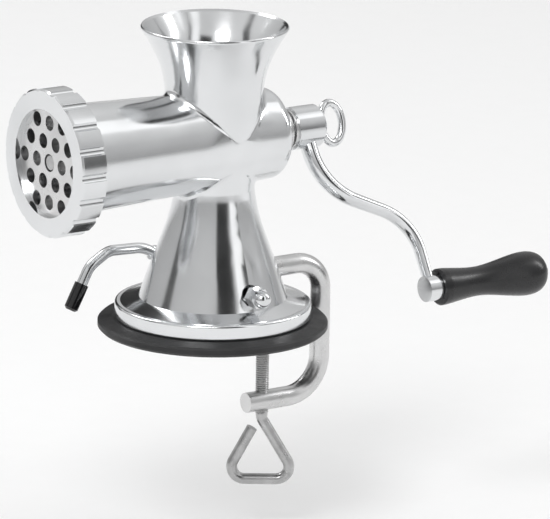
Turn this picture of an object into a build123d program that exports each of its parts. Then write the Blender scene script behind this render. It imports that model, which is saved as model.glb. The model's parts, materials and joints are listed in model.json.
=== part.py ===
from build123d import *
import math
import os

os.makedirs("parts", exist_ok=True)

# A hand-cranked table-top meat grinder. Millimetres, +Z up. The origin is the centre of the suction
# pad's underside, the barrel lies along Y, the meat comes out at -Y and the crank is at +Y.

# ---- clearances ----
RUNNING = 0.05  # radial gap of a turning or sliding fit
GAP = 0.3  # between pieces that move past each other

# ---- suction base ----
PAD_RADIUS = 62.0
PAD_HEIGHT = 6.5
PAD_EDGE = 5.0
CENTRE_RADIUS = 24.0  # the lifting middle of the rubber
CENTRE_THICKNESS = 3.5
LIFT = 3.0  # how far the lever raises the middle
DISC_RADIUS = 53.0
DISC_TOP = 15.0
DISC_ROUNDING = 1.3
DOME_RADIUS = 40.0  # where the dome meets the pedestal's flare
DOME_TOP = 18.0
WALL = 3.2
BASE_PLATE = 2.5
BASE_PLATE_RECESS = 2.5  # from the disc's underside up to the base plate
PLATE_LEDGE = 2.0
SCREW_CIRCLE = 38.0
BASE_SCREW_RADIUS = 2.0
BASE_SCREW_DEPTH = 3.2
BASE_SCREW_START = 30.0

# ---- pedestal and barrel ----
PEDESTAL_TOP_RADIUS = 21.5
PEDESTAL_TOP = 78.0
FLARE_FULLNESS = 0.4
BARREL_Z = 104.0
BARREL_FRONT_RADIUS = 29.5
BARREL_REAR_RADIUS = 24.5
BARREL_FRONT = -90.0
BARREL_REAR = 36.0
BARREL_WALL = 3.4
REAR_WALL = 4.0
BARREL_ROUNDING = 6.0
NECK_RADIUS = 12.0
NECK_LENGTH = 4.0

# ---- hopper ----
HOPPER_Y = -1.0
HOPPER_RIM_Z = 167.0
HOPPER_RIM_RADIUS = 41.0
HOPPER_NECK_RADIUS = 26.4
HOPPER_NECK_Z = 131.0
HOPPER_THROAT_RADIUS = 25.6
HOPPER_WALL = 3.0
THROAT_BORE_RADIUS = 20.5
RIM_ROUNDING = 1.3
BLEND = 3.0  # the cast fillet between hopper, barrel and pedestal

# ---- outlet ----
PLATE_RADIUS = 31.0
PLATE_THICKNESS = 5.5
PLATE_FRONT = -103.7
PLATE_HOLE = 8.0
PLATE_PITCH = 12.4
PLATE_CENTRE_HOLE = 9.5
COLLAR_WALL = 3.3  # of the threaded collar around the plate
KEY_RADIUS = 1.5
KEY_LENGTH = 9.0
NUT_RADIUS = 39.75
NUT_OPENING = 29.0
NUT_LIP = 3.3
NUT_LENGTH = 14.5
NUT_LOBES = 18
GROOVE_RADIUS = 2.6
GROOVE_DEPTH = 1.5
KNIFE_RADIUS = 26.5
KNIFE_THICKNESS = 4.5
KNIFE_SQUARE = 10.0
STUD_RADIUS = 3.9

# ---- auger and crank ----
AUGER_PITCH = 27.0
AUGER_CORE_FRONT = 8.5
AUGER_CORE_REAR = 11.0
FLIGHT_THICKNESS = 3.5
SHAFT_RADIUS = 6.0
BUSH_WALL = 3.0
BUSH_FLANGE = 3.0
THRUST_WASHER = 1.5
WASHER_Y = 45.5
HUB_RADIUS = 11.7
HUB_Y = 47.5
HUB_LENGTH = 18.0
HUB_CHAMFER = 2.0
CRANK_ANGLE = 31.0  # from straight down towards +X
CRANK_RADIUS = 99.2
CRANK_OFFSET = 50.5  # how far behind the hub's middle the boss stands
CRANK_CORNER = 34.8  # radius at which the arm's middle run would leave the hub's middle plane
CRANK_RISE = 25.7  # radius gained by that run
HUB_BEND = 34.0
BOSS_BEND = 30.0
ARM_HUB_WIDTH = 8.6
ARM_HUB_DEPTH = 11.0
ARM_BOSS_WIDTH = 4.8
ARM_BOSS_DEPTH = 8.0
BOSS_RADIUS = 7.0
BOSS_LENGTH = 8.0
SCREW_RADIUS = 4.0
LOOP_ACROSS = 10.9
LOOP_ALONG = 6.9
LOOP_WIRE = 2.2
LOOP_TURN = 16.0

# ---- grip ----
GRIP_LENGTH = 69.0
GRIP_PLAY = 0.3
GRIP_FLANGE = 4.0
PIN_HEAD_RECESS = 1.6
GRIP_FLANGE_RADIUS = 10.0
GRIP_NECK_RADIUS = 8.0
GRIP_BULGE_RADIUS = 11.0
GRIP_END_RADIUS = 5.4
PIN_RADIUS = 3.0
PIN_HEAD_RADIUS = 4.5

# ---- table clamp ----
BAR_RADIUS = 5.5
BAR_Z = 28.3
BAR_BACK = 69.5
BAR_LOW_Z = -45.8
BAR_END_Y = 22.0
UPPER_BEND = 16.0
LOWER_BEND = 21.0
SOCKET_Y = 14.5
SOCKET_WALL = 3.0
CLAMP_Y = 32.5
CLAMP_ROD = 3.0
THREAD_RADIUS = 3.2
SWIVEL_RADIUS = 11.0
SWIVEL_TOP = -5.0
SWIVEL_THICKNESS = 5.0
HANDLE_TURN = 57.0  # of the bent handle's plane about the screw
HANDLE_NECK = 1.5
HANDLE_DROP = 36.0
HANDLE_HALF = 20.5
HANDLE_TAIL = 5.1
HANDLE_RETURN = 29.0

# ---- suction lever ----
LEVER_Z = 26.5
LEVER_ROD = 3.0
LEVER_X = -47.0
SHAFT_BOSS_X = 21.0  # inner face of each bearing boss
SHAFT_BOSS_RADIUS = 7.0
SHAFT_BEARING = 7.0
SHAFT_HOLE_RADIUS = 5.25
NUT_X = 39.5
NUT_FLATS = 10.0
NUT_TALL = 13.0
CAM_RADIUS = 6.5
CAM_WIDTH = 7.0
CAM_THROW = 55.0  # degrees each side of level
YOKE_WALL = 3.0
STEM_RADIUS = 4.0
STEM_HUB = 2.0
CAP_RADIUS = 3.9
CAP_LENGTH = 15.5
CAP_DEPTH = 10.0
LEVER_BEND = 6.0
LEVER_KNEE_Y = 14.5
LEVER_KNEE_RISE = 9.0
COLLAR_LENGTH = 3.0
SHAFT_WASHER = 1.2
SHAFT_WASHER_X = 40.4

barrel_axis = Axis((0, 0, BARREL_Z), (0, 1, 0))


def across(y, x=0.0, z=BARREL_Z):
    """A plane square to the barrel at this Y, facing +Y, with its local X along +X."""
    return Plane(origin=(x, y, z), x_dir=(1, 0, 0), z_dir=(0, 1, 0))


# The half section of anything turned about the barrel's axis: local X is Y, local Y is the radius.
turned = Plane(origin=(0, 0, BARREL_Z), x_dir=(0, 1, 0), z_dir=(1, 0, 0))


def outer_radius(y):
    """The barrel's outside at this Y."""
    share = (y - BARREL_FRONT) / (BARREL_REAR - BARREL_FRONT)
    return BARREL_FRONT_RADIUS + share * (BARREL_REAR_RADIUS - BARREL_FRONT_RADIUS)


# ================= derived places =================
plate_rear = PLATE_FRONT + PLATE_THICKNESS
collar_front = plate_rear - PLATE_THICKNESS / 2
seat_radius = PLATE_RADIUS + RUNNING
collar_radius = seat_radius + COLLAR_WALL
nut_front = PLATE_FRONT - NUT_LIP
nut_rear = nut_front + NUT_LENGTH
bore_end = BARREL_REAR - REAR_WALL
chamber_radius = KNIFE_RADIUS + 1.5
chamber_rear = plate_rear + KNIFE_THICKNESS + 0.7
base_underside = PAD_HEIGHT
base_plate_z = base_underside + BASE_PLATE_RECESS
base_plate_top = base_plate_z + BASE_PLATE
base_plate_radius = DISC_RADIUS - 6.0
neck_bore = SHAFT_RADIUS + BUSH_WALL
flare_middle_radius = (DOME_RADIUS + PEDESTAL_TOP_RADIUS) / 2 + FLARE_FULLNESS
flare_middle_z = (DOME_TOP + PEDESTAL_TOP) / 2 - 5.0
hollow_top = PEDESTAL_TOP - 4.0
FLARE_MIDDLE = (HOPPER_NECK_RADIUS + 4.4, HOPPER_NECK_Z + 18.5)
hopper_plane = Plane(origin=(0, HOPPER_Y, 0), x_dir=(1, 0, 0), z_dir=(0, -1, 0))
hopper_axis = Axis((0, HOPPER_Y, 0), (0, 0, 1))

# ================= hollow of the pedestal =================
with BuildPart() as hollow:
    with BuildSketch(Plane.XZ) as hollow_section:
        with BuildLine():
            Polyline(
                (0, base_underside - 1.0),
                (base_plate_radius + RUNNING, base_underside - 1.0),
                (base_plate_radius + RUNNING, base_plate_top),
                (base_plate_radius - PLATE_LEDGE, base_plate_top),
                (DOME_RADIUS - WALL, DOME_TOP - WALL),
            )
            Spline(
                (DOME_RADIUS - WALL, DOME_TOP - WALL),
                (flare_middle_radius - WALL, flare_middle_z),
                (PEDESTAL_TOP_RADIUS - WALL, hollow_top),
                tangents=((-0.33, 1), (-0.08, 1)),
            )
            Polyline(
                (PEDESTAL_TOP_RADIUS - WALL, hollow_top),
                (0, hollow_top),
                (0, base_underside - 1.0),
            )
        make_face()
    revolve(axis=Axis.Z)
    # screw bosses under the dome
    with BuildSketch(Plane.XY.offset(base_plate_top)):
        with PolarLocations(SCREW_CIRCLE, 3, start_angle=BASE_SCREW_START):
            Circle(BASE_SCREW_RADIUS + 2.0)
    extrude(amount=DOME_TOP, mode=Mode.SUBTRACT)
    # socket for the clamp bar
    with BuildSketch(across(SOCKET_Y, z=BAR_Z)):
        Circle(BAR_RADIUS + RUNNING + SOCKET_WALL)
    extrude(amount=DISC_RADIUS, mode=Mode.SUBTRACT)
    # bearing bosses for the lever's shaft, one each side
    for side in (-1, 1):
        with BuildSketch(Plane.YZ.offset(side * SHAFT_BOSS_X)):
            with Locations((0, LEVER_Z)):
                Circle(SHAFT_BOSS_RADIUS)
        extrude(amount=side * DISC_RADIUS, mode=Mode.SUBTRACT)


# ================= body casting =================
with BuildPart() as body:
    # pedestal and domed disc
    with BuildSketch(Plane.XZ) as pedestal_section:
        with BuildLine():
            Polyline(
                (0, BARREL_Z),
                (0, base_underside),
                (DISC_RADIUS, base_underside),
                (DISC_RADIUS, DISC_TOP),
                (DISC_RADIUS - 3.0, DISC_TOP),
                (DOME_RADIUS, DOME_TOP),
            )
            Spline(
                (DOME_RADIUS, DOME_TOP),
                (flare_middle_radius, flare_middle_z),
                (PEDESTAL_TOP_RADIUS, PEDESTAL_TOP),
                tangents=((-0.33, 1), (-0.08, 1)),
            )
            Polyline(
                (PEDESTAL_TOP_RADIUS, PEDESTAL_TOP),
                (PEDESTAL_TOP_RADIUS, BARREL_Z),
                (0, BARREL_Z),
            )
        make_face()
    revolve(axis=Axis.Z)
    # barrel, with its threaded collar in front and its neck behind
    with BuildSketch(turned) as barrel_section:
        with BuildLine():
            Polyline(
                (collar_front, 0),
                (collar_front, collar_radius),
                (nut_rear - 1.0, collar_radius),
                (nut_rear + 1.5, outer_radius(nut_rear + 1.5)),
                (BARREL_REAR, BARREL_REAR_RADIUS),
                (BARREL_REAR, NECK_RADIUS),
                (BARREL_REAR + NECK_LENGTH, NECK_RADIUS),
                (BARREL_REAR + NECK_LENGTH, 0),
                (collar_front, 0),
            )
        make_face()
    revolve(axis=barrel_axis)
    # hopper
    with BuildSketch(hopper_plane) as hopper_section:
        with BuildLine():
            Polyline((0, BARREL_Z), (HOPPER_THROAT_RADIUS, BARREL_Z), (HOPPER_NECK_RADIUS, HOPPER_NECK_Z))
            Spline(
                (HOPPER_NECK_RADIUS, HOPPER_NECK_Z),
                FLARE_MIDDLE,
                (HOPPER_RIM_RADIUS, HOPPER_RIM_Z),
                tangents=((0.04, 1), (0.75, 1)),
            )
            Polyline((HOPPER_RIM_RADIUS, HOPPER_RIM_Z), (0, HOPPER_RIM_Z), (0, BARREL_Z))
        make_face()
    revolve(axis=hopper_axis)

    blend_edges = [
        edge
        for edge in body.edges()
        if edge.geom_type not in (GeomType.LINE, GeomType.CIRCLE)
        and edge.bounding_box().min.Y > nut_rear
        and edge.bounding_box().max.Y < BARREL_REAR
    ]
    fillet(blend_edges, BLEND)
    rear_edges = body.edges().filter_by(GeomType.CIRCLE).filter_by_position(
        Axis.Y, BARREL_REAR - 0.01, BARREL_REAR + 0.01
    )
    fillet(rear_edges.sort_by(SortBy.RADIUS)[-1], BARREL_ROUNDING)
    disc_edges = body.edges().filter_by(GeomType.CIRCLE).filter_by_position(
        Axis.Z, base_underside - 0.01, DISC_TOP + 0.01
    )
    fillet(disc_edges.filter_by(lambda edge: edge.radius > DISC_RADIUS - 0.01), DISC_ROUNDING)
    fillet(body.edges().filter_by(GeomType.CIRCLE).sort_by(Axis.Z)[-1], RIM_ROUNDING)

    # barrel bore: plate seat, knife chamber and tapered auger bore
    with BuildSketch(turned) as bore_section:
        with BuildLine():
            Polyline(
                (collar_front, 0),
                (collar_front, seat_radius),
                (plate_rear, seat_radius),
                (plate_rear, chamber_radius),
                (chamber_rear, chamber_radius),
                (chamber_rear + 2.5, outer_radius(chamber_rear + 2.5) - BARREL_WALL),
                (bore_end, outer_radius(bore_end) - BARREL_WALL),
                (bore_end, neck_bore),
                (BARREL_REAR + NECK_LENGTH, neck_bore),
                (BARREL_REAR + NECK_LENGTH, 0),
                (collar_front, 0),
            )
        make_face()
    revolve(axis=barrel_axis, mode=Mode.SUBTRACT)
    # hopper's inside
    with BuildSketch(hopper_plane) as throat_section:
        with BuildLine():
            Polyline(
                (0, BARREL_Z),
                (THROAT_BORE_RADIUS, BARREL_Z),
                (HOPPER_NECK_RADIUS - HOPPER_WALL, HOPPER_NECK_Z),
            )
            Spline(
                (HOPPER_NECK_RADIUS - HOPPER_WALL, HOPPER_NECK_Z),
                (FLARE_MIDDLE[0] - HOPPER_WALL, FLARE_MIDDLE[1] + HOPPER_WALL / 2),
                (HOPPER_RIM_RADIUS - HOPPER_WALL, HOPPER_RIM_Z - RIM_ROUNDING),
                tangents=((0.04, 1), (0.75, 1)),
            )
            Polyline(
                (HOPPER_RIM_RADIUS - HOPPER_WALL, HOPPER_RIM_Z - RIM_ROUNDING),
                (HOPPER_RIM_RADIUS - HOPPER_WALL + RIM_ROUNDING, HOPPER_RIM_Z),
                (0, HOPPER_RIM_Z),
                (0, BARREL_Z),
            )
        make_face()
    revolve(axis=hopper_axis, mode=Mode.SUBTRACT)
    # hollow of the pedestal, which leaves the socket and the bosses standing
    add(hollow.part, mode=Mode.SUBTRACT)
    with BuildSketch(Plane.XY.offset(base_plate_top)):
        with PolarLocations(SCREW_CIRCLE, 3, start_angle=BASE_SCREW_START):
            Circle(BASE_SCREW_RADIUS)
    extrude(amount=BASE_SCREW_DEPTH, mode=Mode.SUBTRACT)
    with BuildSketch(across(SOCKET_Y - 1.0, z=BAR_Z)):
        Circle(BAR_RADIUS + RUNNING)
    extrude(amount=DISC_RADIUS, mode=Mode.SUBTRACT)
    with BuildSketch(Plane.YZ.offset(-DISC_RADIUS)):
        with Locations((0, LEVER_Z)):
            Circle(LEVER_ROD + RUNNING)
    extrude(amount=2 * DISC_RADIUS, mode=Mode.SUBTRACT)
    # the shaft's hole is wider outside, on the nut's side
    with BuildSketch(Plane.YZ.offset(SHAFT_BOSS_X + SHAFT_BEARING)):
        with Locations((0, LEVER_Z)):
            Circle(SHAFT_HOLE_RADIUS)
    extrude(amount=DISC_RADIUS, mode=Mode.SUBTRACT)
    # half-round notch that keys the plate
    with BuildSketch(across(plate_rear, z=BARREL_Z - seat_radius)):
        Circle(KEY_RADIUS)
    extrude(amount=KEY_LENGTH - PLATE_THICKNESS, mode=Mode.SUBTRACT)
    with BuildSketch(across(collar_front, z=BARREL_Z - seat_radius)):
        Circle(KEY_RADIUS)
    extrude(amount=plate_rear - collar_front, mode=Mode.SUBTRACT)
body.part.label = "body"
export_step(body.part, "parts/body.step")


# ================= outlet: ring nut, plate, key, knife =================
nut_bore = collar_radius + RUNNING
with BuildPart() as ring_nut:
    with BuildSketch(across(nut_front)):
        Circle(NUT_RADIUS)
        Circle(NUT_OPENING, mode=Mode.SUBTRACT)
    extrude(amount=NUT_LENGTH)
    front_edges = ring_nut.edges().filter_by(GeomType.CIRCLE).group_by(Axis.Y)[0]
    chamfer(front_edges.sort_by(SortBy.RADIUS)[-1], 1.0)
    with BuildSketch(across(nut_front)):
        with PolarLocations(NUT_RADIUS + GROOVE_RADIUS - GROOVE_DEPTH, NUT_LOBES):
            Circle(GROOVE_RADIUS)
    extrude(amount=NUT_LENGTH, mode=Mode.SUBTRACT)
    with BuildSketch(across(PLATE_FRONT)):
        Circle(nut_bore)
    extrude(amount=NUT_LENGTH, mode=Mode.SUBTRACT)
ring_nut.part.label = "ring_nut"
export_step(ring_nut.part, "parts/ring_nut.step")

with BuildPart() as grinding_plate:
    with BuildSketch(across(PLATE_FRONT)):
        Circle(PLATE_RADIUS)
        Circle(PLATE_CENTRE_HOLE / 2, mode=Mode.SUBTRACT)
        with Locations((0, seat_radius)):
            Circle(KEY_RADIUS + RUNNING, mode=Mode.SUBTRACT)
        hex_ring = math.sqrt(3) * PLATE_PITCH
        for radius, start in ((PLATE_PITCH, 0), (hex_ring, 30), (2 * PLATE_PITCH, 0)):
            with PolarLocations(radius, 6, start_angle=start):
                Circle(PLATE_HOLE / 2, mode=Mode.SUBTRACT)
    extrude(amount=PLATE_THICKNESS)
grinding_plate.part.label = "grinding_plate"
export_step(grinding_plate.part, "parts/grinding_plate.step")

with BuildPart() as plate_key:
    with BuildSketch(across(collar_front, z=BARREL_Z - seat_radius)):
        Circle(KEY_RADIUS)
    extrude(amount=plate_rear - collar_front + KEY_LENGTH - PLATE_THICKNESS)
plate_key.part.label = "plate_key"
export_step(plate_key.part, "parts/plate_key.step")

knife_front = plate_rear + GAP
knife_rear = knife_front + KNIFE_THICKNESS - GAP
with BuildPart() as knife:
    with BuildSketch(across(knife_front)):
        Circle(KNIFE_SQUARE)
        with BuildSketch(mode=Mode.PRIVATE) as blade:
            with BuildLine():
                Polyline((2, -4.5), (KNIFE_RADIUS, -2.0), (KNIFE_RADIUS, 3.5), (2, 6.0), (2, -4.5))
            make_face()
        with PolarLocations(0, 4):
            add(blade.sketch)
        Rectangle(KNIFE_SQUARE, KNIFE_SQUARE, mode=Mode.SUBTRACT)
    extrude(amount=knife_rear - knife_front)
knife.part.label = "knife"
export_step(knife.part, "parts/knife.step")

# ================= auger and its stud, bush and washers =================
auger_front = knife_rear
shoulder_y = bore_end - THRUST_WASHER
shaft_end = HUB_Y + HUB_LENGTH - 3.5
flight_radius = outer_radius(chamber_rear) - BARREL_WALL
drive_square = SHAFT_RADIUS * 1.4
with BuildPart() as flight_envelope:
    with BuildSketch(turned):
        with BuildLine():
            Polyline(
                (auger_front + 1.0, 0),
                (auger_front + 1.0, outer_radius(chamber_rear + 2.5) - BARREL_WALL - 2 * GAP),
                (shoulder_y - 1.0, outer_radius(bore_end) - BARREL_WALL - 2 * GAP),
                (shoulder_y - 1.0, 0),
                (auger_front + 1.0, 0),
            )
        make_face()
    revolve(axis=barrel_axis)
flight_start = auger_front + AUGER_PITCH / 8
flight_middle = (AUGER_CORE_FRONT + flight_radius) / 2
with BuildPart() as flight:
    with BuildLine():
        helix = Helix(AUGER_PITCH, shoulder_y - 1.0 - flight_start, flight_middle)
    with BuildSketch(Plane(origin=helix @ 0, x_dir=(1, 0, 0), z_dir=helix % 0)):
        Rectangle(flight_radius - AUGER_CORE_FRONT + 3.0, FLIGHT_THICKNESS)
    sweep(is_frenet=True)
flight_solid = (across(flight_start).location * flight.part) & flight_envelope.part

with BuildPart() as auger:
    with BuildSketch(turned):
        with BuildLine():
            Polyline(
                (auger_front, 0),
                (auger_front, AUGER_CORE_FRONT),
                (shoulder_y, AUGER_CORE_REAR),
                (shoulder_y, SHAFT_RADIUS),
                (HUB_Y, SHAFT_RADIUS),
                (HUB_Y, 0),
                (auger_front, 0),
            )
        make_face()
    revolve(axis=barrel_axis)
    add(flight_solid)
    with BuildSketch(across(HUB_Y)):
        Rectangle(drive_square, drive_square)
    extrude(amount=shaft_end - HUB_Y)
    with BuildSketch(across(shaft_end)):
        Circle(SCREW_RADIUS - 1.0)
    extrude(amount=WASHER_Y - shaft_end, mode=Mode.SUBTRACT)
    with BuildSketch(across(auger_front)):
        Circle(STUD_RADIUS)
    extrude(amount=AUGER_CORE_FRONT, mode=Mode.SUBTRACT)
auger.part.label = "auger"
export_step(auger.part, "parts/auger.step")

with BuildPart() as auger_stud:
    with BuildSketch(across(PLATE_FRONT + 0.5)):
        Circle(STUD_RADIUS)
    extrude(amount=auger_front + AUGER_CORE_FRONT - PLATE_FRONT - 0.5)
    with BuildSketch(across(knife_front)):
        Rectangle(KNIFE_SQUARE, KNIFE_SQUARE)
    extrude(amount=knife_rear - knife_front)
auger_stud.part.label = "auger_stud"
export_step(auger_stud.part, "parts/auger_stud.step")

with BuildPart() as rear_bush:
    with BuildSketch(across(bore_end)):
        Circle(neck_bore)
    extrude(amount=REAR_WALL + NECK_LENGTH)
    with BuildSketch(across(BARREL_REAR + NECK_LENGTH)):
        Circle(NECK_RADIUS)
    extrude(amount=BUSH_FLANGE)
    with BuildSketch(across(bore_end)):
        Circle(SHAFT_RADIUS + RUNNING)
    extrude(amount=REAR_WALL + NECK_LENGTH + BUSH_FLANGE, mode=Mode.SUBTRACT)
rear_bush.part.label = "rear_bush"
export_step(rear_bush.part, "parts/rear_bush.step")

with BuildPart() as thrust_washer:
    with BuildSketch(across(shoulder_y + RUNNING)):
        Circle(AUGER_CORE_REAR + 2.0)
        Circle(SHAFT_RADIUS + 2 * RUNNING, mode=Mode.SUBTRACT)
    extrude(amount=THRUST_WASHER - RUNNING)
thrust_washer.part.label = "thrust_washer"
export_step(thrust_washer.part, "parts/thrust_washer.step")

with BuildPart() as crank_washer:
    with BuildSketch(across(WASHER_Y)):
        Circle(HUB_RADIUS - 1.0)
        Circle(SHAFT_RADIUS, mode=Mode.SUBTRACT)
    extrude(amount=HUB_Y - WASHER_Y)
crank_washer.part.label = "crank_washer"
export_step(crank_washer.part, "parts/crank_washer.step")

# ================= crank =================
hub_middle = HUB_Y + HUB_LENGTH / 2
lean = math.radians(CRANK_ANGLE)
crank_plane = Plane(
    origin=(0, hub_middle, BARREL_Z), x_dir=(0, 1, 0), z_dir=(-math.cos(lean), 0, -math.sin(lean))
)
boss_x = CRANK_RADIUS * math.sin(lean)
boss_z = BARREL_Z - CRANK_RADIUS * math.cos(lean)
boss_front = hub_middle + CRANK_OFFSET - BOSS_LENGTH / 2
middle_run = math.hypot(CRANK_OFFSET, CRANK_RISE)
sweep_turn = math.degrees(math.atan2(CRANK_OFFSET, CRANK_RISE))
half_turn = math.tan(math.radians(sweep_turn / 2))
with BuildPart() as crank_arm:
    with BuildLine(crank_plane) as arm_line:
        inner = Line((0, HUB_RADIUS / 2), (0, CRANK_CORNER - HUB_BEND * half_turn))
        bend_out = JernArc(inner @ 1, inner % 1, HUB_BEND, -sweep_turn)
        rise = Line(
            bend_out @ 1,
            bend_out @ 1 + (bend_out % 1) * (middle_run - (HUB_BEND + BOSS_BEND) * half_turn),
        )
        bend_back = JernArc(rise @ 1, rise % 1, BOSS_BEND, sweep_turn)
        Line(bend_back @ 1, (CRANK_OFFSET, CRANK_RADIUS))
    with BuildSketch(Plane(origin=crank_plane.from_local_coords((0, HUB_RADIUS / 2, 0)),
                           x_dir=(0, 1, 0), z_dir=crank_plane.y_dir)):
        Ellipse(ARM_HUB_WIDTH / 2, ARM_HUB_DEPTH / 2)
    with BuildSketch(Plane(origin=crank_plane.from_local_coords((CRANK_OFFSET, CRANK_RADIUS, 0)),
                           x_dir=(0, 1, 0), z_dir=crank_plane.y_dir)):
        Ellipse(ARM_BOSS_WIDTH / 2, ARM_BOSS_DEPTH / 2)
    sweep(multisection=True)
    with BuildSketch(across(HUB_Y)):
        Circle(HUB_RADIUS)
    extrude(amount=HUB_LENGTH)
    hub_rim = crank_arm.edges().filter_by(GeomType.CIRCLE).filter_by_position(
        Axis.Y, HUB_Y + HUB_LENGTH - 0.01, HUB_Y + HUB_LENGTH + 0.01
    )
    chamfer(hub_rim, HUB_CHAMFER)
    with BuildSketch(across(boss_front, boss_x, boss_z)):
        Circle(BOSS_RADIUS)
    extrude(amount=BOSS_LENGTH)
    with BuildSketch(across(HUB_Y)):
        Rectangle(drive_square, drive_square)
    extrude(amount=shaft_end - HUB_Y, mode=Mode.SUBTRACT)
    with BuildSketch(across(shaft_end)):
        Circle(SCREW_RADIUS - 1.0)
    extrude(amount=HUB_LENGTH, mode=Mode.SUBTRACT)
    with BuildSketch(across(boss_front, boss_x, boss_z)):
        Circle(PIN_RADIUS)
    extrude(amount=BOSS_LENGTH, mode=Mode.SUBTRACT)
    with BuildSketch(across(boss_front, boss_x, boss_z)):
        Circle(PIN_HEAD_RADIUS)
    extrude(amount=PIN_HEAD_RECESS, mode=Mode.SUBTRACT)
crank_arm.part.label = "crank_arm"
export_step(crank_arm.part, "parts/crank_arm.step")

loop_middle = HUB_Y + HUB_LENGTH + LOOP_WIRE + LOOP_ALONG
loop_turn = math.radians(LOOP_TURN)
loop_plane = Plane(
    origin=(0, loop_middle, BARREL_Z), x_dir=(0, 1, 0), z_dir=(math.cos(loop_turn), 0, math.sin(loop_turn))
)
with BuildPart() as crank_screw:
    with BuildLine(loop_plane):
        EllipticalCenterArc((0, 0), LOOP_ALONG, LOOP_ACROSS, start_angle=0, arc_size=180)
    with BuildSketch(Plane(origin=loop_plane.from_local_coords((LOOP_ALONG, 0, 0)),
                           x_dir=loop_plane.x_dir, z_dir=loop_plane.y_dir)):
        Circle(LOOP_WIRE)
    sweep()
    mirror(about=Plane(origin=loop_plane.origin, z_dir=loop_plane.y_dir))
    with BuildSketch(across(HUB_Y)):
        Circle(SCREW_RADIUS - 1.0)
    extrude(amount=loop_middle - LOOP_ALONG - HUB_Y)
crank_screw.part.label = "crank_screw"
export_step(crank_screw.part, "parts/crank_screw.step")

# ================= grip =================
grip_front = boss_front + BOSS_LENGTH + GRIP_PLAY
grip_axis = Axis((boss_x, 0, boss_z), (0, 1, 0))
grip_section = Plane(origin=(boss_x, grip_front, boss_z), x_dir=(0, 1, 0), z_dir=(1, 0, 0))
with BuildPart() as grip:
    with BuildSketch(grip_section):
        with BuildLine():
            Polyline(
                (0, 0),
                (0, GRIP_FLANGE_RADIUS - 1.0),
                (1.0, GRIP_FLANGE_RADIUS),
                (GRIP_FLANGE, GRIP_FLANGE_RADIUS),
            )
            Spline(
                (GRIP_FLANGE, GRIP_FLANGE_RADIUS),
                (GRIP_LENGTH * 0.36, GRIP_NECK_RADIUS),
                (GRIP_LENGTH * 0.69, GRIP_BULGE_RADIUS),
                (GRIP_LENGTH, GRIP_END_RADIUS),
                tangents=((1, -0.1), (0.3, -1)),
            )
            Polyline((GRIP_LENGTH, GRIP_END_RADIUS), (GRIP_LENGTH, 0), (0, 0))
        make_face()
    revolve(axis=grip_axis)
    with BuildSketch(across(grip_front, boss_x, boss_z)):
        Circle(PIN_RADIUS + RUNNING)
    extrude(amount=GRIP_LENGTH, mode=Mode.SUBTRACT)
grip.part.label = "grip"
export_step(grip.part, "parts/grip.step")

washer_y = grip_front + GRIP_LENGTH + RUNNING
with BuildPart() as grip_washer:
    with BuildSketch(across(washer_y, boss_x, boss_z)):
        Circle(GRIP_END_RADIUS - 0.6)
        Circle(PIN_RADIUS, mode=Mode.SUBTRACT)
    extrude(amount=1.0)
grip_washer.part.label = "grip_washer"
export_step(grip_washer.part, "parts/grip_washer.step")

with BuildPart() as grip_pin:
    with BuildSketch(across(boss_front, boss_x, boss_z)):
        Circle(PIN_HEAD_RADIUS)
    extrude(amount=PIN_HEAD_RECESS)
    with BuildSketch(across(boss_front, boss_x, boss_z)):
        Circle(PIN_RADIUS)
    extrude(amount=washer_y + 1.0 - boss_front)
    with BuildSketch(across(washer_y + 1.0, boss_x, boss_z)):
        Circle(PIN_RADIUS + 0.8)
    extrude(amount=0.8)
grip_pin.part.label = "grip_pin"
export_step(grip_pin.part, "parts/grip_pin.step")

# ================= table clamp =================
with BuildPart() as clamp_bar:
    with BuildLine(Plane.YZ):
        FilletPolyline(
            (SOCKET_Y + GAP, BAR_Z), (BAR_BACK, BAR_Z), (BAR_BACK, BAR_LOW_Z), (BAR_END_Y, BAR_LOW_Z),
            radius=(UPPER_BEND, LOWER_BEND),
        )
    with BuildSketch(across(SOCKET_Y + GAP, z=BAR_Z)):
        Circle(BAR_RADIUS)
    sweep()
    with BuildSketch(Plane.XY.offset(BAR_LOW_Z - 2 * BAR_RADIUS)):
        with Locations((0, CLAMP_Y)):
            Circle(THREAD_RADIUS + RUNNING)
    extrude(amount=4 * BAR_RADIUS, mode=Mode.SUBTRACT)
clamp_bar.part.label = "clamp_bar"
export_step(clamp_bar.part, "parts/clamp_bar.step")

swivel_recess = 2.0
rod_top = SWIVEL_TOP - swivel_recess
thread_low = BAR_LOW_Z - BAR_RADIUS - 3.0
handle_plane = Plane(
    origin=(0, CLAMP_Y, 0),
    x_dir=(math.cos(math.radians(HANDLE_TURN)), math.sin(math.radians(HANDLE_TURN)), 0),
    z_dir=(math.sin(math.radians(HANDLE_TURN)), -math.cos(math.radians(HANDLE_TURN)), 0),
)
with BuildPart() as clamp_screw:
    with BuildLine(handle_plane):
        FilletPolyline(
            (0, thread_low + 2.0),
            (0, thread_low - HANDLE_NECK),
            (HANDLE_HALF, thread_low - HANDLE_DROP),
            (-HANDLE_HALF, thread_low - HANDLE_DROP),
            (-HANDLE_TAIL, thread_low - HANDLE_DROP + HANDLE_RETURN),
            radius=(4.0, 7.0, 7.0),
        )
    with BuildSketch(Plane.XY.offset(thread_low + 2.0)):
        with Locations((0, CLAMP_Y)):
            Circle(CLAMP_ROD)
    sweep()
    with BuildSketch(Plane.XY.offset(thread_low)):
        with Locations((0, CLAMP_Y)):
            Circle(THREAD_RADIUS)
    extrude(amount=SWIVEL_TOP - SWIVEL_THICKNESS - GAP - thread_low)
    with BuildSketch(Plane.XY.offset(thread_low)):
        with Locations((0, CLAMP_Y)):
            Circle(CLAMP_ROD - 1.0)
    extrude(amount=rod_top - thread_low)
clamp_screw.part.label = "clamp_screw"
export_step(clamp_screw.part, "parts/clamp_screw.step")

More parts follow.
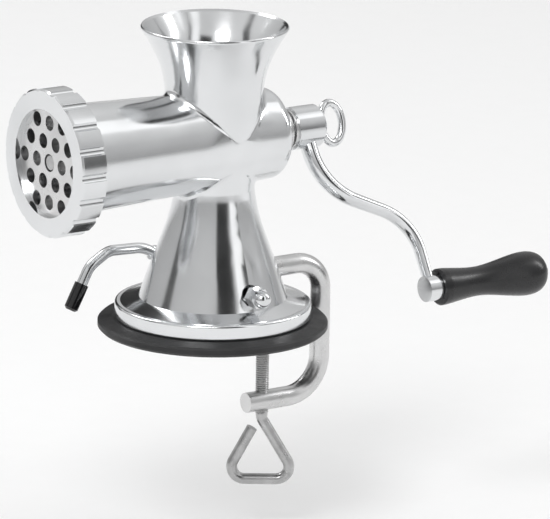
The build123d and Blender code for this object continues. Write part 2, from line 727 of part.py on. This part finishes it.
with BuildPart() as clamp_swivel:
    with BuildSketch(Plane.XY.offset(SWIVEL_TOP - SWIVEL_THICKNESS)):
        with Locations((0, CLAMP_Y)):
            Circle(SWIVEL_RADIUS)
    extrude(amount=SWIVEL_THICKNESS)
    chamfer(clamp_swivel.edges().group_by(Axis.Z)[0], 1.0)
    with BuildSketch(Plane.XY.offset(SWIVEL_TOP - SWIVEL_THICKNESS)):
        with Locations((0, CLAMP_Y)):
            Circle(CLAMP_ROD - 1.0 + RUNNING)
    extrude(amount=SWIVEL_THICKNESS, mode=Mode.SUBTRACT)
    with BuildSketch(Plane.XY.offset(rod_top - 0.9)):
        with Locations((0, CLAMP_Y)):
            Circle(CLAMP_ROD + 1.3)
    extrude(amount=SWIVEL_THICKNESS, mode=Mode.SUBTRACT)
clamp_swivel.part.label = "clamp_swivel"
export_step(clamp_swivel.part, "parts/clamp_swivel.step")

with BuildPart() as clamp_rivet:
    with BuildSketch(Plane.XY.offset(rod_top)):
        with Locations((0, CLAMP_Y)):
            Circle(CLAMP_ROD + 1.0)
    extrude(amount=1.2)
clamp_rivet.part.label = "clamp_rivet"
export_step(clamp_rivet.part, "parts/clamp_rivet.step")

# ================= suction base =================
stem_bore = STEM_RADIUS + RUNNING
foot_z = CENTRE_THICKNESS
cam_throw = math.radians(CAM_THROW)
eccentricity = LIFT / (2 * math.sin(cam_throw))
cam_y = eccentricity * math.cos(cam_throw)
cam_z = LEVER_Z - LIFT / 2
slot_height = 2 * (CAM_RADIUS + GAP + RUNNING)
slot_length = 2 * (CAM_RADIUS + eccentricity + GAP)
with BuildPart() as base_plate:
    with BuildSketch(Plane.XY.offset(base_plate_z)):
        Circle(base_plate_radius)
    extrude(amount=BASE_PLATE)
    with BuildSketch(Plane.XY.offset(base_plate_top)):
        Circle(STEM_RADIUS + WALL)
    extrude(amount=STEM_HUB)
    with BuildSketch(Plane.XY.offset(base_plate_z)):
        Circle(stem_bore)
    extrude(amount=BASE_PLATE + STEM_HUB, mode=Mode.SUBTRACT)
    with BuildSketch(Plane.XY.offset(base_plate_z)):
        with PolarLocations(SCREW_CIRCLE, 3, start_angle=BASE_SCREW_START):
            Circle(BASE_SCREW_RADIUS)
    extrude(amount=BASE_PLATE, mode=Mode.SUBTRACT)
base_plate.part.label = "base_plate"
export_step(base_plate.part, "parts/base_plate.step")

with BuildPart() as base_screws:
    with BuildSketch(Plane.XY.offset(base_plate_z - 1.6)):
        with PolarLocations(SCREW_CIRCLE, 3, start_angle=BASE_SCREW_START):
            Circle(BASE_SCREW_RADIUS + 1.5)
    extrude(amount=1.6)
    with BuildSketch(Plane.XY.offset(base_plate_z)):
        with PolarLocations(SCREW_CIRCLE, 3, start_angle=BASE_SCREW_START):
            Circle(BASE_SCREW_RADIUS)
    extrude(amount=BASE_PLATE + BASE_SCREW_DEPTH - 0.2)
base_screws.part.label = "base_screws"
export_step(base_screws.part, "parts/base_screws.step")

with BuildPart() as suction_cup:
    with BuildSketch(Plane.XZ):
        with BuildLine():
            Polyline(
                (CENTRE_RADIUS + 2 * GAP, 1.5),
                (PAD_RADIUS - 12.0, 1.5),
                (PAD_RADIUS - 10.0, 0),
                (PAD_RADIUS - 1.5, 0),
                (PAD_RADIUS, 1.5),
                (PAD_RADIUS, PAD_EDGE - 1.0),
                (PAD_RADIUS - 1.0, PAD_EDGE),
                (DISC_RADIUS + 1.0, PAD_HEIGHT),
                (base_plate_radius - 1.0, PAD_HEIGHT),
                (base_plate_radius - 1.0, 4.0),
                (CENTRE_RADIUS + 2 * GAP, 4.0),
                (CENTRE_RADIUS + 2 * GAP, 1.5),
            )
        make_face()
    revolve(axis=Axis.Z)
suction_cup.part.label = "suction_cup"
export_step(suction_cup.part, "parts/suction_cup.step")

with BuildPart() as cup_centre:
    with BuildSketch(Plane.XY):
        Circle(CENTRE_RADIUS)
    extrude(amount=CENTRE_THICKNESS)
cup_centre.part.label = "cup_centre"
export_step(cup_centre.part, "parts/cup_centre.step")

yoke_height = slot_height + 2 * YOKE_WALL
with BuildPart() as lift_stem:
    with BuildSketch(Plane.XY.offset(foot_z)):
        Circle(STEM_RADIUS * 2.5)
    extrude(amount=1.5)
    with BuildSketch(Plane.XY.offset(foot_z)):
        Circle(STEM_RADIUS)
    extrude(amount=cam_z - yoke_height / 2 - foot_z + 0.5)
    with BuildSketch(Plane.YZ.offset(-CAM_WIDTH / 2)):
        with Locations((0, cam_z)):
            Rectangle(slot_length + 2 * YOKE_WALL, yoke_height)
            SlotOverall(slot_length, slot_height, mode=Mode.SUBTRACT)
    extrude(amount=CAM_WIDTH)
lift_stem.part.label = "lift_stem"
export_step(lift_stem.part, "parts/lift_stem.step")

with BuildPart() as cam:
    with BuildSketch(Plane.YZ.offset(-CAM_WIDTH / 2)):
        with Locations((-cam_y, cam_z)):
            Circle(CAM_RADIUS)
        with Locations((0, LEVER_Z)):
            Circle(LEVER_ROD, mode=Mode.SUBTRACT)
    extrude(amount=CAM_WIDTH)
cam.part.label = "cam"
export_step(cam.part, "parts/cam.step")

# The lever is one bent rod: the shaft along X, a bend, then the hand lever in a plane beside the base.
lever_tip = (LEVER_X, -58.5, LEVER_Z - 15.0)
lever_elbow = (LEVER_X, -49.0, LEVER_Z + 3.0)
with BuildPart() as lever_rod:
    with BuildLine():
        FilletPolyline(
            (NUT_X + NUT_TALL - 4.0, 0, LEVER_Z),
            (LEVER_X, 0, LEVER_Z),
            (LEVER_X, -LEVER_KNEE_Y, LEVER_Z + LEVER_KNEE_RISE),
            (LEVER_X, -37.0, LEVER_Z + 10.0),
            lever_elbow,
            lever_tip,
            radius=(LEVER_BEND, 20.0, 12.0, 14.0),
        )
    with BuildSketch(Plane.YZ.offset(NUT_X + NUT_TALL - 4.0)):
        with Locations((0, LEVER_Z)):
            Circle(LEVER_ROD)
    sweep()
lever_rod.part.label = "lever_rod"
export_step(lever_rod.part, "parts/lever_rod.step")

rise_direction = Vector(0, -LEVER_KNEE_Y, LEVER_KNEE_RISE)
collar_plane = Plane(
    origin=Vector(LEVER_X, 0, LEVER_Z) + rise_direction.normalized() * (LEVER_BEND + 1.5),
    x_dir=(1, 0, 0),
    z_dir=rise_direction,
)
with BuildPart() as lever_collar:
    with BuildSketch(collar_plane):
        Circle(LEVER_ROD + 1.3)
        Circle(LEVER_ROD, mode=Mode.SUBTRACT)
    extrude(amount=COLLAR_LENGTH)
lever_collar.part.label = "lever_collar"
export_step(lever_collar.part, "parts/lever_collar.step")

cap_direction = Vector(*lever_tip) - Vector(*lever_elbow)
cap_plane = Plane(
    origin=Vector(*lever_tip) - cap_direction.normalized() * CAP_DEPTH, x_dir=(1, 0, 0), z_dir=cap_direction
)
with BuildPart() as cap_blank:
    with BuildSketch(cap_plane):
        Circle(CAP_RADIUS)
    extrude(amount=CAP_LENGTH)
    chamfer(cap_blank.edges().group_by(Axis.Z)[0], 1.2)
lever_cap = cap_blank.part - lever_rod.part
lever_cap.label = "lever_cap"
export_step(lever_cap, "parts/lever_cap.step")

with BuildPart() as washer_blank:
    with BuildSketch(Plane.YZ.offset(-SHAFT_WASHER_X)):
        with Locations((0, LEVER_Z)):
            Circle(LEVER_ROD + 3.0)
            Circle(LEVER_ROD, mode=Mode.SUBTRACT)
    extrude(amount=SHAFT_WASHER)
washer_blank.part.label = "lever_washer"
export_step(washer_blank.part, "parts/lever_washer.step")

with BuildPart() as acorn_nut:
    with BuildSketch(Plane.YZ.offset(NUT_X)):
        with Locations((0, LEVER_Z)):
            RegularPolygon(NUT_FLATS / 2, 6, major_radius=False)
    extrude(amount=NUT_TALL * 0.55)
    with BuildSketch(Plane.YZ.offset(NUT_X + NUT_TALL * 0.55)):
        with Locations((0, LEVER_Z)):
            Circle(NUT_FLATS / 2 - 0.3)
    extrude(amount=NUT_TALL * 0.45)
    dome = acorn_nut.edges().filter_by(GeomType.CIRCLE).group_by(Axis.X)[-1]
    fillet(dome, NUT_FLATS * 0.4)
    with BuildSketch(Plane.YZ.offset(NUT_X)):
        with Locations((0, LEVER_Z)):
            Circle(LEVER_ROD)
    extrude(amount=NUT_TALL - 4.0, mode=Mode.SUBTRACT)
acorn_nut.part.label = "acorn_nut"
export_step(acorn_nut.part, "parts/acorn_nut.step")
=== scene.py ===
import json
import math

import bmesh
import bpy
from mathutils import Matrix, Vector


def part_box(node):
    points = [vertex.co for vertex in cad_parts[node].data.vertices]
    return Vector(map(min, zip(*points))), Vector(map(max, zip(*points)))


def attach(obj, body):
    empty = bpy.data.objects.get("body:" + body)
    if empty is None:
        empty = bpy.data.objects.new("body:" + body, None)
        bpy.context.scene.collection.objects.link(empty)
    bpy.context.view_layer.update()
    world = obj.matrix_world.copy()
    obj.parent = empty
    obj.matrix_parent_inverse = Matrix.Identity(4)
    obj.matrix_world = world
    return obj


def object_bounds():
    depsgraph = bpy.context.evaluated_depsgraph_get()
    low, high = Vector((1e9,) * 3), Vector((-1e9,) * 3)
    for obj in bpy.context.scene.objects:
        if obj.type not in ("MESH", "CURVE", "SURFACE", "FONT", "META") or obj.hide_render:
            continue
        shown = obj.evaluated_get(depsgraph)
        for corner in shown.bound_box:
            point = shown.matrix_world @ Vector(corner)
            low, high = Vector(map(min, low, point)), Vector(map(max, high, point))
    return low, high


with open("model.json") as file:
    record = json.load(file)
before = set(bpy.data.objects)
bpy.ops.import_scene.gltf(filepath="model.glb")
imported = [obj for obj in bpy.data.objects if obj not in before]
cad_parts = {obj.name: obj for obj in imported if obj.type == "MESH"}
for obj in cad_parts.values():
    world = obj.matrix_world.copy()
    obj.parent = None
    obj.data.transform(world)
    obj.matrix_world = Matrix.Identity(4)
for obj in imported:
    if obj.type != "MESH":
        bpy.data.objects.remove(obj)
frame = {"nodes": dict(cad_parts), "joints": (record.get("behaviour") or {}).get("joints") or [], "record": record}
cad_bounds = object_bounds()
nodes = frame["nodes"]
MM = 0.001

# ================= camera =================
CAMERA_PLACE = Vector((2.851, -1.852, 0.945))
CAMERA_AIM = Vector((0.0135, 0.0307, 0.0366))
FOCAL_LENGTH = 429.0
SENSOR_WIDTH = 36.0
ROLL = math.radians(0.9)


def make_camera():
    """A distant camera with a long lens, rolled slightly."""
    data = bpy.data.cameras.new("camera")
    data.lens = FOCAL_LENGTH
    data.sensor_width = SENSOR_WIDTH
    data.clip_end = 50.0
    camera = bpy.data.objects.new("camera", data)
    bpy.context.scene.collection.objects.link(camera)
    look = (CAMERA_AIM - CAMERA_PLACE).to_track_quat("-Z", "Y").to_matrix().to_4x4()
    camera.matrix_world = Matrix.Translation(CAMERA_PLACE) @ look @ Matrix.Rotation(ROLL, 4, "Z")
    bpy.context.scene.camera = camera


# ================= materials =================
def shader(name):
    """A new material, its node tree and its principled shader."""
    material = bpy.data.materials.new(name)
    material.use_nodes = True
    tree = material.node_tree
    return material, tree, tree.nodes["Principled BSDF"]


def noise(tree, scale, detail=4.0):
    """Noise in the object's own coordinates, scale in cycles per metre."""
    place = tree.nodes.new("ShaderNodeTexCoord")
    texture = tree.nodes.new("ShaderNodeTexNoise")
    texture.inputs["Scale"].default_value = scale
    texture.inputs["Detail"].default_value = detail
    tree.links.new(place.outputs["Object"], texture.inputs["Vector"])
    return texture.outputs["Fac"]


def spread(tree, factor, low, high):
    """The factor's middle range turned into low to high."""
    remap = tree.nodes.new("ShaderNodeMapRange")
    remap.inputs["From Min"].default_value = 0.3
    remap.inputs["From Max"].default_value = 0.7
    remap.inputs["To Min"].default_value = low
    remap.inputs["To Max"].default_value = high
    tree.links.new(factor, remap.inputs["Value"])
    return remap.outputs["Result"]


def tint(tree, factor, dark, light):
    """A colour between dark and light."""
    mix = tree.nodes.new("ShaderNodeMix")
    mix.data_type = "RGBA"
    mix.inputs["A"].default_value = (*dark, 1)
    mix.inputs["B"].default_value = (*light, 1)
    tree.links.new(factor, mix.inputs["Factor"])
    return mix.outputs["Result"]


def bump(tree, principled, height, strength, distance):
    """Relief on the shader's normal."""
    node = tree.nodes.new("ShaderNodeBump")
    node.inputs["Strength"].default_value = strength
    node.inputs["Distance"].default_value = distance
    tree.links.new(height, node.inputs["Height"])
    tree.links.new(node.outputs["Normal"], principled.inputs["Normal"])


ROUGHNESS_SCALE = 1.7  # scale of the roughness noise over that of the colour noise
RELIEF_DETAIL = 6.0


def make_material(name, dark, light, rough, metallic=0.0, scale=60.0,
                  relief=(0.1, 0.0001), relief_scale=400.0, coat=0.0):
    """A material whose colour and roughness wander between two values, over a fine relief."""
    material, tree, principled = shader(name)
    principled.inputs["Metallic"].default_value = metallic
    principled.inputs["Coat Weight"].default_value = coat
    colour = tint(tree, spread(tree, noise(tree, scale), 0.0, 1.0), dark, light)
    tree.links.new(colour, principled.inputs["Base Color"])
    roughness = spread(tree, noise(tree, scale * ROUGHNESS_SCALE), *rough)
    tree.links.new(roughness, principled.inputs["Roughness"])
    bump(tree, principled, noise(tree, relief_scale, RELIEF_DETAIL), *relief)
    return material


LOOKS = {
    "polished_steel": make_material(
        "polished_steel", (0.70, 0.71, 0.72), (0.78, 0.79, 0.80), (0.11, 0.19), metallic=1.0,
        scale=25.0, relief=(0.08, 0.00005), relief_scale=60.0),
    "satin_steel": make_material(
        "satin_steel", (0.60, 0.60, 0.60), (0.70, 0.70, 0.70), (0.24, 0.34), metallic=1.0,
        scale=60.0, relief=(0.12, 0.00004), relief_scale=700.0),
    "plain_steel": make_material(
        "plain_steel", (0.42, 0.42, 0.42), (0.56, 0.56, 0.56), (0.25, 0.42), metallic=1.0,
        scale=120.0, relief=(0.15, 0.00005), relief_scale=900.0),
    "rubber": make_material(
        "rubber", (0.012, 0.012, 0.013), (0.022, 0.022, 0.023), (0.45, 0.62),
        relief=(0.3, 0.0001), relief_scale=900.0),
    "grip_plastic": make_material(
        "grip_plastic", (0.008, 0.008, 0.009), (0.014, 0.014, 0.015), (0.22, 0.32),
        relief=(0.12, 0.00005), relief_scale=700.0),
    "cap_plastic": make_material(
        "cap_plastic", (0.006, 0.006, 0.007), (0.010, 0.010, 0.011), (0.08, 0.14), coat=0.3),
    "washer_plastic": make_material(
        "washer_plastic", (0.70, 0.70, 0.66), (0.78, 0.78, 0.75), (0.40, 0.55)),
}


# Steel pieces that wear the satin look instead of the look of their slot.
SATIN_NODES = ("clamp_bar", "crank_washer", "rear_bush", "grinding_plate")


def dress_nodes():
    """Gives each CAD node the look of its material slot, or the satin look."""
    for entry in frame["record"]["subparts"]:
        data = nodes[entry["node"]].data
        look = "satin_steel" if entry["node"] in SATIN_NODES else entry["material_slot"]
        data.materials.clear()
        data.materials.append(LOOKS[look])


# ================= detail pieces =================
SCREW_AXIS_Y = 32.5 * MM
THREAD_PITCH = 1.25 * MM
THREAD_STEPS = 32
THREAD_ROOT = 3.15 * MM  # just inside the CAD rod, so that the ridge grows out of it
THREAD_CREST = 3.62 * MM
THREAD_LOW = -53.5 * MM
PLAIN_TOP = 4 * MM  # from the rod's tip, which is inside the swivel pad, down to the thread
CREST_HALF = 0.06  # half the crest's width, in pitches
ROOT_HALF = 0.45  # half the root's width, in pitches
INNER_SHARE = 0.9  # radius of the ridge's buried edge over the root's


def helix_thread(name, core, crest, low, high):
    """A closed vee-shaped ridge wound about the clamp screw's axis, faded at both ends."""
    mesh = bmesh.new()
    turns = (high - low) / THREAD_PITCH
    count = int(turns * THREAD_STEPS)
    rings = []
    for step in range(count + 1):
        turn = 2 * math.pi * step / THREAD_STEPS
        z = low + THREAD_PITCH * step / THREAD_STEPS
        out = Vector((math.cos(turn), math.sin(turn), 0))
        middle = Vector((0, SCREW_AXIS_Y, z))
        fade = min(1.0, step / THREAD_STEPS, (count - step) / THREAD_STEPS)
        peak = core + (crest - core) * fade
        rings.append([
            mesh.verts.new(middle + out * core - Vector((0, 0, THREAD_PITCH * ROOT_HALF))),
            mesh.verts.new(middle + out * peak - Vector((0, 0, THREAD_PITCH * CREST_HALF))),
            mesh.verts.new(middle + out * peak + Vector((0, 0, THREAD_PITCH * CREST_HALF))),
            mesh.verts.new(middle + out * core + Vector((0, 0, THREAD_PITCH * ROOT_HALF))),
            mesh.verts.new(middle + out * core * INNER_SHARE),
        ])
    corners = len(rings[0])
    for a, b in zip(rings, rings[1:]):
        for k in range(corners):
            mesh.faces.new((a[k], b[k], b[(k + 1) % corners], a[(k + 1) % corners]))
    mesh.faces.new(rings[0][::-1])
    mesh.faces.new(rings[-1])
    bmesh.ops.recalc_face_normals(mesh, faces=mesh.faces)
    data = bpy.data.meshes.new(name)
    mesh.to_mesh(data)
    mesh.free()
    piece = bpy.data.objects.new(name, data)
    bpy.context.scene.collection.objects.link(piece)
    return piece


def make_thread():
    rod_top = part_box("clamp_screw")[1].z
    thread = helix_thread("clamp_thread", THREAD_ROOT, THREAD_CREST, THREAD_LOW, rod_top - PLAIN_TOP)
    thread.data.materials.append(LOOKS["plain_steel"])
    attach(thread, "hand_screw")


# ================= studio =================
FLOOR_RADIUS = 12.0
FLOOR_CORNERS = 64
FLOOR_GAP = 1 * MM


def make_floor():
    """A pale floor just below the clamp handle at the lowest point of its travel."""
    travel = max(-joint["range_m"][0] for joint in frame["joints"] if joint["name"] == "swivel_slide")
    drop = cad_bounds[0][2] - travel - FLOOR_GAP
    bpy.ops.mesh.primitive_circle_add(
        vertices=FLOOR_CORNERS, radius=FLOOR_RADIUS, fill_type="NGON", location=(0, 0, drop))
    floor = bpy.context.object
    floor.name = "floor"
    floor.data.materials.append(
        make_material("floor", (0.94, 0.94, 0.94), (0.95, 0.95, 0.95), (0.8, 0.9)))


LIGHT_AIM = Vector((0, 0, 80 * MM))  # the top of the pedestal
# Each light's name, place in metres, width and height in metres, and power in watts.
LIGHTS = (
    ("key_box", (1.2, -1.6, 2.2), (0.9, 0.9), 26.0),
    ("side_box", (0.9, 2.2, 1.4), (0.4, 1.4), 14.0),
    ("back_box", (-1.8, -0.6, 2.0), (0.9, 0.9), 14.0),
)


def soft_box(name, place, size, power):
    """A rectangular studio light that faces the part."""
    light = bpy.data.lights.new(name, "AREA")
    light.shape = "RECTANGLE"
    light.size, light.size_y = size
    light.energy = power
    lamp = bpy.data.objects.new(name, light)
    bpy.context.scene.collection.objects.link(lamp)
    aim = LIGHT_AIM - Vector(place)
    lamp.matrix_world = Matrix.Translation(place) @ aim.to_track_quat("-Z", "Y").to_matrix().to_4x4()


# Charcoal and white cards around the object: the azimuth in degrees and the height (sine of the
# elevation) that each spans, and its shade. The polished steel mirrors them as long bands.
CARDS = (
    ((-26.0, 4.0), (-0.5, 0.75), 0.035),
    ((27.0, 33.0), (-0.5, 0.80), 0.05),
    ((8.0, 24.0), (-0.5, 0.90), 1.25),
    ((150.0, 178.0), (-0.5, 0.70), 0.04),
    ((-120.0, -104.0), (-0.5, 0.75), 0.10),
    ((45.0, 95.0), (0.30, 0.42), 0.16),
    ((45.0, 95.0), (0.72, 0.84), 1.35),
)
# The room's shade from straight below (0) to straight above (1).
ROOM_BANDS = ((0.0, 0.35), (0.46, 0.42), (0.56, 0.50), (0.70, 0.62), (0.86, 0.80), (1.0, 0.60))
EDGE = 0.02  # softness of a card's top and bottom
SIDE_EDGE = 1.5  # softness of its sides, in degrees


def calculate(tree, operation, *values):
    """One math node, fed with numbers or other nodes' outputs."""
    node = tree.nodes.new("ShaderNodeMath")
    node.operation = operation
    for socket, value in zip(node.inputs, values):
        if isinstance(value, (int, float)):
            socket.default_value = value
        else:
            tree.links.new(value, socket)
    return node.outputs[0]


def within(tree, value, low, high, soft):
    """1 between low and high and 0 outside, with each edge blurred by soft either way."""
    sides = []
    for edge, inward in ((low, 1), (high, -1)):
        step = tree.nodes.new("ShaderNodeMapRange")
        step.interpolation_type = "SMOOTHSTEP"
        step.inputs["From Min"].default_value = edge - soft * inward
        step.inputs["From Max"].default_value = edge + soft * inward
        tree.links.new(value, step.inputs["Value"])
        sides.append(step.outputs["Result"])
    return calculate(tree, "MULTIPLY", *sides)


def make_world():
    """A pale room with cards, for every ray but the camera's own, which sees plain white."""
    world = bpy.data.worlds.new("studio")
    bpy.context.scene.world = world
    world.use_nodes = True
    tree = world.node_tree
    background = tree.nodes["Background"]
    place = tree.nodes.new("ShaderNodeTexCoord")
    split = tree.nodes.new("ShaderNodeSeparateXYZ")
    tree.links.new(place.outputs["Generated"], split.inputs["Vector"])
    height = split.outputs["Z"]
    turn = calculate(tree, "ARCTAN2", split.outputs["Y"], split.outputs["X"])
    azimuth = calculate(tree, "DEGREES", turn)
    ramp = tree.nodes.new("ShaderNodeValToRGB")
    elements = ramp.color_ramp.elements
    for _ in range(len(ROOM_BANDS) - 2):
        elements.new(0.5)  # moved to its own place below
    for element, (where, shade) in zip(elements, ROOM_BANDS):
        element.position = where
        element.color = (shade, shade, shade, 1)
    tree.links.new(calculate(tree, "MULTIPLY_ADD", height, 0.5, 0.5), ramp.inputs["Fac"])
    shade_now = ramp.outputs["Color"]
    for (left, right), (low, high), shade in CARDS:
        across = within(tree, azimuth, left, right, SIDE_EDGE)
        upright = within(tree, height, low, high, EDGE)
        mask = calculate(tree, "MULTIPLY", across, upright)
        mix = tree.nodes.new("ShaderNodeMix")
        mix.data_type = "RGBA"
        mix.inputs["B"].default_value = (shade, shade, shade, 1)
        tree.links.new(mask, mix.inputs["Factor"])
        tree.links.new(shade_now, mix.inputs["A"])
        shade_now = mix.outputs["Result"]
    path = tree.nodes.new("ShaderNodeLightPath")
    seen = tree.nodes.new("ShaderNodeMix")
    seen.data_type = "RGBA"
    seen.inputs["B"].default_value = (1, 1, 1, 1)
    tree.links.new(path.outputs["Is Camera Ray"], seen.inputs["Factor"])
    tree.links.new(shade_now, seen.inputs["A"])
    tree.links.new(seen.outputs["Result"], background.inputs["Color"])
    background.inputs["Strength"].default_value = 1.0


def make_studio():
    make_world()
    make_floor()
    for light in LIGHTS:
        soft_box(*light)
    bpy.context.scene.view_settings.view_transform = "Standard"


make_camera()
dress_nodes()
make_thread()
make_studio()
